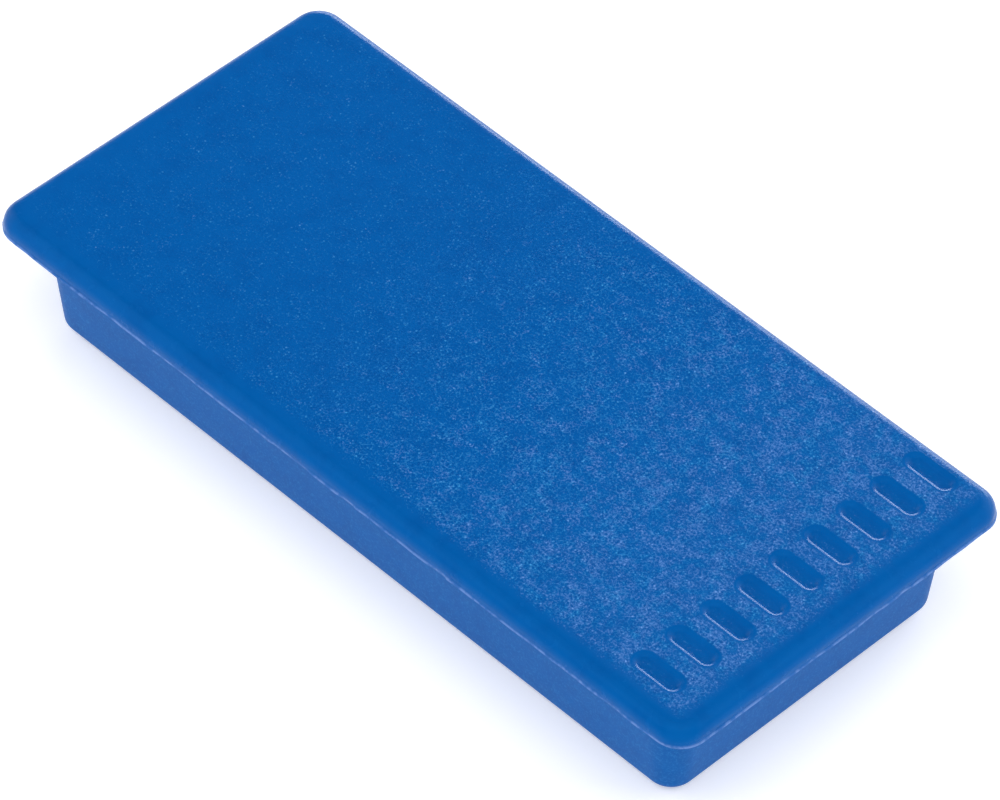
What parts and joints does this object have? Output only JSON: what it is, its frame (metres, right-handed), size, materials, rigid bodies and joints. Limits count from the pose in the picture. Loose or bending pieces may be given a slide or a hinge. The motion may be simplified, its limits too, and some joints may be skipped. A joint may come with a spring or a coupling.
{
  "type": "board magnet",
  "caption": "Rectangular holding magnet for steel boards: blue moulded housing with an overhanging top plate over a ferrite block backed with steel.",
  "frame": {"origin": "centre of the contact face, on the plane of the board that the magnet holds on to", "axes": "+Z away from the board through the flat top plate, +X along the long side towards the end with the row of grip slots"},
  "size_m": [0.05, 0.0234, 0.008],
  "materials": {
    "blue_plastic": "satin",
    "ferrite": "satin",
    "plated_steel": "satin",
    "glue": "satin"
  },
  "bodies": {
    "root": {"housing": "blue_plastic", "magnet": "ferrite", "back_plate": "plated_steel", "glue_beads": "glue"}
  },
  "joints": []
}
